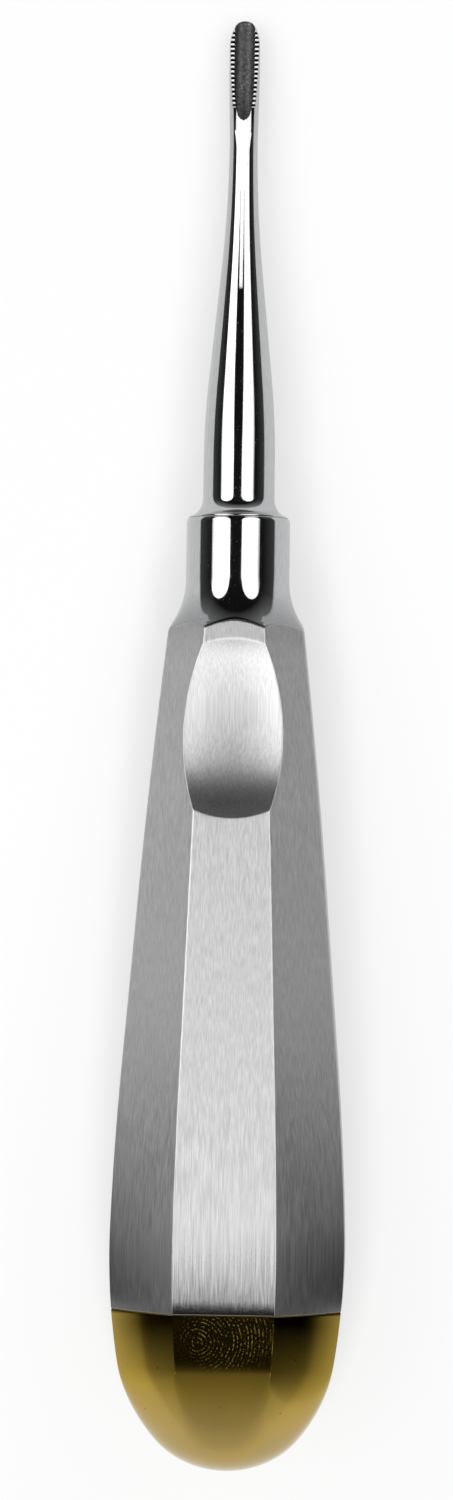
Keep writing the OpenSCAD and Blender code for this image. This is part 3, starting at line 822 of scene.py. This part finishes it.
# Blasted stainless steel: grit has left the trough dull and dark, with a sandy speckle and a few painted
# glints, bright specks in its colour.
# Real grit leaves finer pits: they are drawn 0.3 mm wide so that they show.
grit_w, pit_depth = 0.3 * mm, 0.02 * mm
blasted_steel, tree, shader = new_material("blasted_stainless_steel", {
    "Base Color": linear("#565656"), "Metallic": 1.0, "Roughness": 0.5})
grit = add_node(tree, "TexNoise", {
    "Vector": add_node(tree, "TexCoord").outputs["Object"], "Scale": 1 / grit_w, "Detail": 3.0,
    "Roughness": 0.7})
grit_tone = add_node(tree, "MapRange", {"Value": grit, "From Min": 0.3, "From Max": 0.7})
sandy = add_node(tree, "Mix", {
    "Factor": grit_tone, "A": linear("#3c3c3d"), "B": linear("#6e6e6f")}, data_type="RGBA")
# Painted glints: a few specks of the grit turn bright.
painted_glints = add_node(tree, "MapRange", {"Value": grit, "From Min": 0.66, "From Max": 0.72, "To Max": 0.8})
sandy = add_node(tree, "Mix", {"Factor": painted_glints, "A": sandy, "B": linear("#c9cacc")}, data_type="RGBA")
pitted = add_node(tree, "Bump", {"Strength": 0.6, "Distance": pit_depth, "Height": grit})
set_inputs(tree, shader, {"Base Color": sandy, "Normal": pitted})

# The blasting also covers the rim of the nose, past the teeth
blast_past_teeth = 0.3
blast_from = tip_station - notch_from_tip + blast_past_teeth
strip_blast = np.zeros((len(blade_line) - 1, strip_columns - 1))
strip_blast[blade_line[:-1] > blast_from, :rim_count] = 1
strip_blast[blade_line[:-1] > blast_from, -rim_count:] = 1
working_material = np.concatenate([
    np.zeros(len(working_faces[0])), strip_blast.ravel(), np.ones(len(working_faces[2])),
    np.zeros(len(working_faces[3])), np.zeros(len(working_faces[4])), np.ones(len(working_faces[5]))])
working_end = new_piece("working_end_polished", working_points, working_faces,
                        [satin_and_highlight_steel, blasted_steel], working_material)
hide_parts("working_end")
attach(working_end, "root")


# Tang pin
# A pin of drawn steel wire, cut to length and pressed across the spigot and the tang.
# The shell hides it, so it keeps its solid's own mesh and only gets its material.

# Drawn steel: grey, with fine lines along the pin that the die has left.
die_line_w, die_line_len = 0.1 * mm, 6.0 * mm
drawn_steel, tree, shader = new_material("drawn_steel", {
    "Base Color": linear("#a9abad"), "Metallic": 1.0, "Roughness": 0.3})
die_space = add_node(tree, "Mapping", {
    "Vector": add_node(tree, "TexCoord").outputs["Object"],
    "Scale": (die_line_len, die_line_w, die_line_w)}, vector_type="TEXTURE")
die_lines = add_node(tree, "TexNoise", {"Vector": die_space, "Scale": 1.0, "Detail": 2.0})
drawn_tone = add_node(tree, "Mix", {
    "Factor": die_lines, "A": linear("#9a9c9e"), "B": linear("#b8babc")}, data_type="RGBA")
drawn_rough = add_node(tree, "MapRange", {"Value": die_lines, "To Min": 0.22, "To Max": 0.38})
set_inputs(tree, shader, {"Base Color": drawn_tone, "Roughness": drawn_rough})
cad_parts["tang_pin"].data.materials.clear()
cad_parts["tang_pin"].data.materials.append(drawn_steel)


# Floor
# A white matt sheet that the tool lies on. The camera sees it white, with a soft shade where the tool
# touches it: a little real shadow on the sheet, and a painted shadow where the glow dims as ambient
# occlusion finds the tool close. The metal mirrors it grey beside the tool, and pale behind the butt and
# ahead of the tip.
floor_half, floor_low, painted_shade_reach = 3.0, -0.03 * mm, 8.0 * mm
beside_full, beside_end = 0.02, 0.2


def flat_sheet(name, corners, material):
    """A flat sheet of the stage with four corners."""
    mesh = bpy.data.meshes.new(name)
    mesh.from_pydata(corners, [], [(0, 1, 2, 3)])
    mesh.materials.append(material)
    piece = bpy.data.objects.new(name, mesh)
    bpy.context.scene.collection.objects.link(piece)
    return piece


floor_material, tree, sheet = new_material("white_matt_sheet", {
    "Base Color": linear("#f0f0f0"), "Roughness": 0.9, "Specular IOR Level": 0.1})
ray = add_node(tree, "LightPath").outputs
mirrored = add_node(tree, "Math", {
    0: ray["Is Glossy Ray"], 1: ray["Is Transmission Ray"]}, operation="ADD")
place = add_node(tree, "TexCoord").outputs["Object"]
aside = add_node(tree, "Math", {
    0: add_node(tree, "SeparateXYZ", {"Vector": place}).outputs["X"]}, operation="ABSOLUTE")
beside = add_node(tree, "MapRange", {
    "Value": aside, "From Min": beside_full, "From Max": beside_end, "To Min": 0.46, "To Max": 0.0})
heading = add_node(tree, "SeparateXYZ", {
    "Vector": add_node(tree, "VectorMath", {0: place}, operation="NORMALIZE")}).outputs["Y"]
behind = add_node(tree, "MapRange", {
    "Value": heading, "From Min": -0.85, "From Max": -0.05, "To Min": 0.9, "To Max": 0.08})
ahead = add_node(tree, "MapRange", {
    "Value": heading, "From Min": 0.3, "From Max": 0.9, "To Min": 0.0, "To Max": 0.55})
pale = add_node(tree, "Math", {0: behind, 1: ahead}, operation="MAXIMUM")
pale = add_node(tree, "Math", {0: beside, 1: pale}, operation="MAXIMUM")
veil = add_node(tree, "Math", {0: mirrored, 1: pale}, operation="MULTIPLY")
veil = add_node(tree, "Math", {0: ray["Is Camera Ray"], 1: 0.85, 2: veil}, operation="MULTIPLY_ADD")
# Painted shadow: the glow dims close to the tool.
nearness = add_node(tree, "AmbientOcclusion", {"Distance": painted_shade_reach}, samples=8)
painted_contact_shade = add_node(tree, "MapRange", {
    "Value": nearness.outputs["AO"], "From Min": 0.6, "From Max": 0.88, "To Min": 0.8, "To Max": 1.0})
glow = add_node(tree, "Emission", {"Color": linear("#ffffff"), "Strength": painted_contact_shade})
mixed = add_node(tree, "MixShader", {0: veil, 1: sheet, 2: glow})
set_inputs(tree, tree.nodes["Material Output"], {"Surface": mixed})
floor = flat_sheet("floor", [
    (-floor_half, -floor_half, floor_low), (floor_half, -floor_half, floor_low),
    (floor_half, floor_half, floor_low), (-floor_half, floor_half, floor_low)], floor_material)


# Camera
# Above the tool, a little to its right, with the tip slightly farther away than the butt.
# The tool's own axes in the camera's view give the camera's place in the frame.
image_h, focal_px, sensor_h, distance = 1500.0, 4600.0, 36.0, 475.6
axis_away, axis_lean, roll = np.radians([2.1, 0.8, 2.2])
aim_station, aim_offset_px = 74.12, 8.8
tip_way = np.array([np.sin(axis_lean) * np.cos(axis_away), np.cos(axis_lean) * np.cos(axis_away),
                    -np.sin(axis_away)])
facing = np.array([0.0, 0.0, 1.0]) - tip_way * tip_way[2]
facing /= np.linalg.norm(facing)
sideways = np.cross(tip_way, facing)
front_way = np.cos(roll) * facing - np.sin(roll) * sideways
right_way = np.cross(tip_way, front_way)
tool_in_camera = np.stack([right_way, front_way, tip_way], 1)
tool_in_frame = np.array([[1, 0, 0],
                          [0, np.sin(rest_tilt), np.cos(rest_tilt)],
                          [0, np.cos(rest_tilt), -np.sin(rest_tilt)]])
camera_axes = tool_in_frame @ tool_in_camera.T
aim = lay_down(0.0, 0.0, aim_station)
aim_offset = camera_axes[:, 0] * aim_offset_px / focal_px * distance
camera_data = bpy.data.cameras.new("camera")
camera_data.sensor_fit = "VERTICAL"
camera_data.sensor_height = sensor_h
camera_data.lens = sensor_h * focal_px / image_h
camera_data.clip_start = 0.01
camera = bpy.data.objects.new("camera", camera_data)
pose = np.eye(4)
pose[:3, :3], pose[:3, 3] = camera_axes, aim + (camera_axes[:, 2] * distance - aim_offset) * mm
camera.matrix_world = Matrix(pose.tolist())
bpy.context.scene.collection.objects.link(camera)
bpy.context.scene.camera = camera


# Lights
# Two low softboxes left and right of the camera, which stand farther apart towards the tip than towards
# the butt. Each has a round end towards the tip and a dimmer rim on its outer side.
lamp_h, lamp_y, lamp_swing = 0.30, (-0.18, 0.325), np.radians(14)
round_len, rim_w, rim_shine, edge_blur, rim_blur = 0.18, 0.03, 0.45, 0.004, 0.006


def softbox(name, x, width, swing, radiance):
    """An area light that faces the tool and is swung in its own plane. It shines where the distance from
    its middle line, or the stretched distance from the centre of its oval end, is under half its width."""
    length = lamp_y[1] - lamp_y[0]
    light = bpy.data.lights.new(name, "AREA")
    light.shape = "RECTANGLE"
    light.size, light.size_y = width, length
    light.energy = np.pi * width * length * radiance
    light.use_nodes = True
    tree = light.node_tree
    spot = add_node(tree, "SeparateXYZ", {
        "Vector": add_node(tree, "NewGeometry").outputs["Parametric"]}).outputs
    across = add_node(tree, "Math", {0: spot["X"], 1: width, 2: -width / 2}, operation="MULTIPLY_ADD")
    stretch = width / 2 / round_len
    past_centre = add_node(tree, "Math", {
        0: spot["Y"], 1: length * stretch, 2: (round_len - length) * stretch}, operation="MULTIPLY_ADD")
    past_centre = add_node(tree, "Math", {0: past_centre, 1: 0.0}, operation="MAXIMUM")
    away = add_node(tree, "VectorMath", {
        0: add_node(tree, "CombineXYZ", {"X": across, "Y": past_centre})}, operation="LENGTH")
    shine = add_node(tree, "MapRange", {
        "Value": away, "From Min": width / 2 - edge_blur, "From Max": width / 2,
        "To Min": 1.0, "To Max": 0.0})
    outward = add_node(tree, "Math", {0: across, 1: float(np.sign(x))}, operation="MULTIPLY")
    rim_from = width / 2 - rim_w
    rim = add_node(tree, "MapRange", {
        "Value": outward, "From Min": rim_from, "From Max": rim_from + rim_blur,
        "To Min": 1.0, "To Max": rim_shine})
    shine = add_node(tree, "Math", {0: shine, 1: rim}, operation="MULTIPLY")
    set_inputs(tree, tree.nodes["Emission"], {"Strength": shine})
    way = np.array([x, 0.0, lamp_h]) / np.hypot(x, lamp_h)
    level = np.cross([0.0, 1.0, 0.0], way)
    lengthwise = np.cos(swing) * np.array([0.0, 1.0, 0.0]) + np.sin(swing) * level
    stand = np.eye(4)
    stand[:3, :3] = np.stack([np.cross(lengthwise, way), lengthwise, way], 1)
    stand[:3, 3] = x, sum(lamp_y) / 2, lamp_h
    lamp = bpy.data.objects.new(name, light)
    lamp.matrix_world = Matrix(stand.tolist())
    lamp.visible_camera = False
    bpy.context.scene.collection.objects.link(lamp)


softbox("softbox_left", x=-0.212, width=0.276, swing=-lamp_swing, radiance=2.95)
softbox("softbox_right", x=0.166, width=0.250, swing=lamp_swing, radiance=2.3)

# Two soft black flags beside the rear of the shell, which only reflections see. Each thins out towards the
# tip and towards the butt, and stands clear of the floor beside the cap.
flag_x, flag_tip, flag_dense, flag_thin, flag_top = 0.026, 0.005, -0.033, -0.037, 0.06
foot_from, foot_full, foot_low, foot_high = -0.0365, -0.034, 0.005, 0.024
for name, x, density, flag_butt in (
        ("flag_left", -flag_x, 0.95, -0.048), ("flag_right", flag_x, 1.0, -0.058)):
    flag_cloth, tree, cloth = new_material("black_" + name + "_gauze", {
        "Base Color": linear("#0a0a0a"), "Roughness": 1.0, "Specular IOR Level": 0.0})
    spot = add_node(tree, "SeparateXYZ", {"Vector": add_node(tree, "TexCoord").outputs["Object"]}).outputs
    to_tip = add_node(tree, "MapRange", {
        "Value": spot["Y"], "From Min": flag_dense, "From Max": flag_tip, "To Min": density, "To Max": 0.0},
        interpolation_type="SMOOTHSTEP")
    to_butt = add_node(tree, "MapRange", {
        "Value": spot["Y"], "From Min": flag_butt, "From Max": flag_thin})
    by_shell = add_node(tree, "MapRange", {
        "Value": spot["Y"], "From Min": foot_from, "From Max": foot_full})
    off_floor = add_node(tree, "MapRange", {
        "Value": spot["Z"], "From Min": foot_low, "From Max": foot_high}, interpolation_type="SMOOTHSTEP")
    foot = add_node(tree, "Math", {0: by_shell, 1: off_floor}, operation="MAXIMUM")
    thick = add_node(tree, "Math", {0: to_tip, 1: to_butt}, operation="MULTIPLY")
    thick = add_node(tree, "Math", {0: thick, 1: foot}, operation="MULTIPLY")
    set_inputs(tree, cloth, {"Alpha": thick})
    flag = flat_sheet(name, [
        (x, flag_butt, 0.0), (x, flag_tip, 0.0), (x, flag_tip, flag_top), (x, flag_butt, flag_top)],
        flag_cloth)
    flag.visible_camera = flag.visible_diffuse = flag.visible_shadow = False

# The room is dark but for a pale wall behind the butt, whose edge is about 20 degrees off the vertical and
# blurs to the sides, and a low haze near the horizon behind the butt and ahead of the tip.
# The camera sees it white.
wall_at, blur_least, blur_grow = -0.345, 0.012, 0.35
world = bpy.data.worlds.new("dark_room")
world.use_nodes = True
tree = world.node_tree
way = add_node(tree, "SeparateXYZ", {"Vector": add_node(tree, "TexCoord").outputs["Generated"]}).outputs
aside = add_node(tree, "Math", {0: way["X"]}, operation="ABSOLUTE")
blur = add_node(tree, "Math", {0: aside, 1: blur_grow, 2: blur_least}, operation="MULTIPLY_ADD")
edge_low = add_node(tree, "Math", {0: wall_at, 1: blur}, operation="SUBTRACT")
edge_high = add_node(tree, "Math", {0: wall_at, 1: blur}, operation="ADD")
wall_edge = add_node(tree, "MapRange", {
    "Value": way["Y"], "From Min": edge_low, "From Max": edge_high, "To Min": 0.2, "To Max": 0.012})
wall_rise = add_node(tree, "MapRange", {
    "Value": way["Y"], "From Min": -0.85, "From Max": -0.35, "To Min": 0.35, "To Max": 0.0})
haze = add_node(tree, "MapRange", {
    "Value": way["Z"], "From Min": 0.0, "From Max": 0.5, "To Min": 0.35, "To Max": 0.0})
haze_behind = add_node(tree, "MapRange", {
    "Value": way["Y"], "From Min": -0.35, "From Max": -0.05, "To Min": 1.0, "To Max": 0.2})
haze_ahead = add_node(tree, "MapRange", {
    "Value": way["Y"], "From Min": 0.3, "From Max": 0.9, "To Min": 0.0, "To Max": 1.1})
haze_share = add_node(tree, "Math", {0: haze_behind, 1: haze_ahead}, operation="MAXIMUM")
haze = add_node(tree, "Math", {0: haze, 1: haze_share}, operation="MULTIPLY")
room = add_node(tree, "Math", {0: wall_edge, 1: wall_rise}, operation="ADD")
room = add_node(tree, "Math", {0: room, 1: haze}, operation="ADD")
room = add_node(tree, "Math", {
    0: room, 1: add_node(tree, "LightPath").outputs["Is Camera Ray"]}, operation="MAXIMUM")
set_inputs(tree, tree.nodes["Background"], {"Color": linear("#ffffff"), "Strength": room})
bpy.context.scene.world = world

bpy.context.scene.view_settings.view_transform = "Standard"
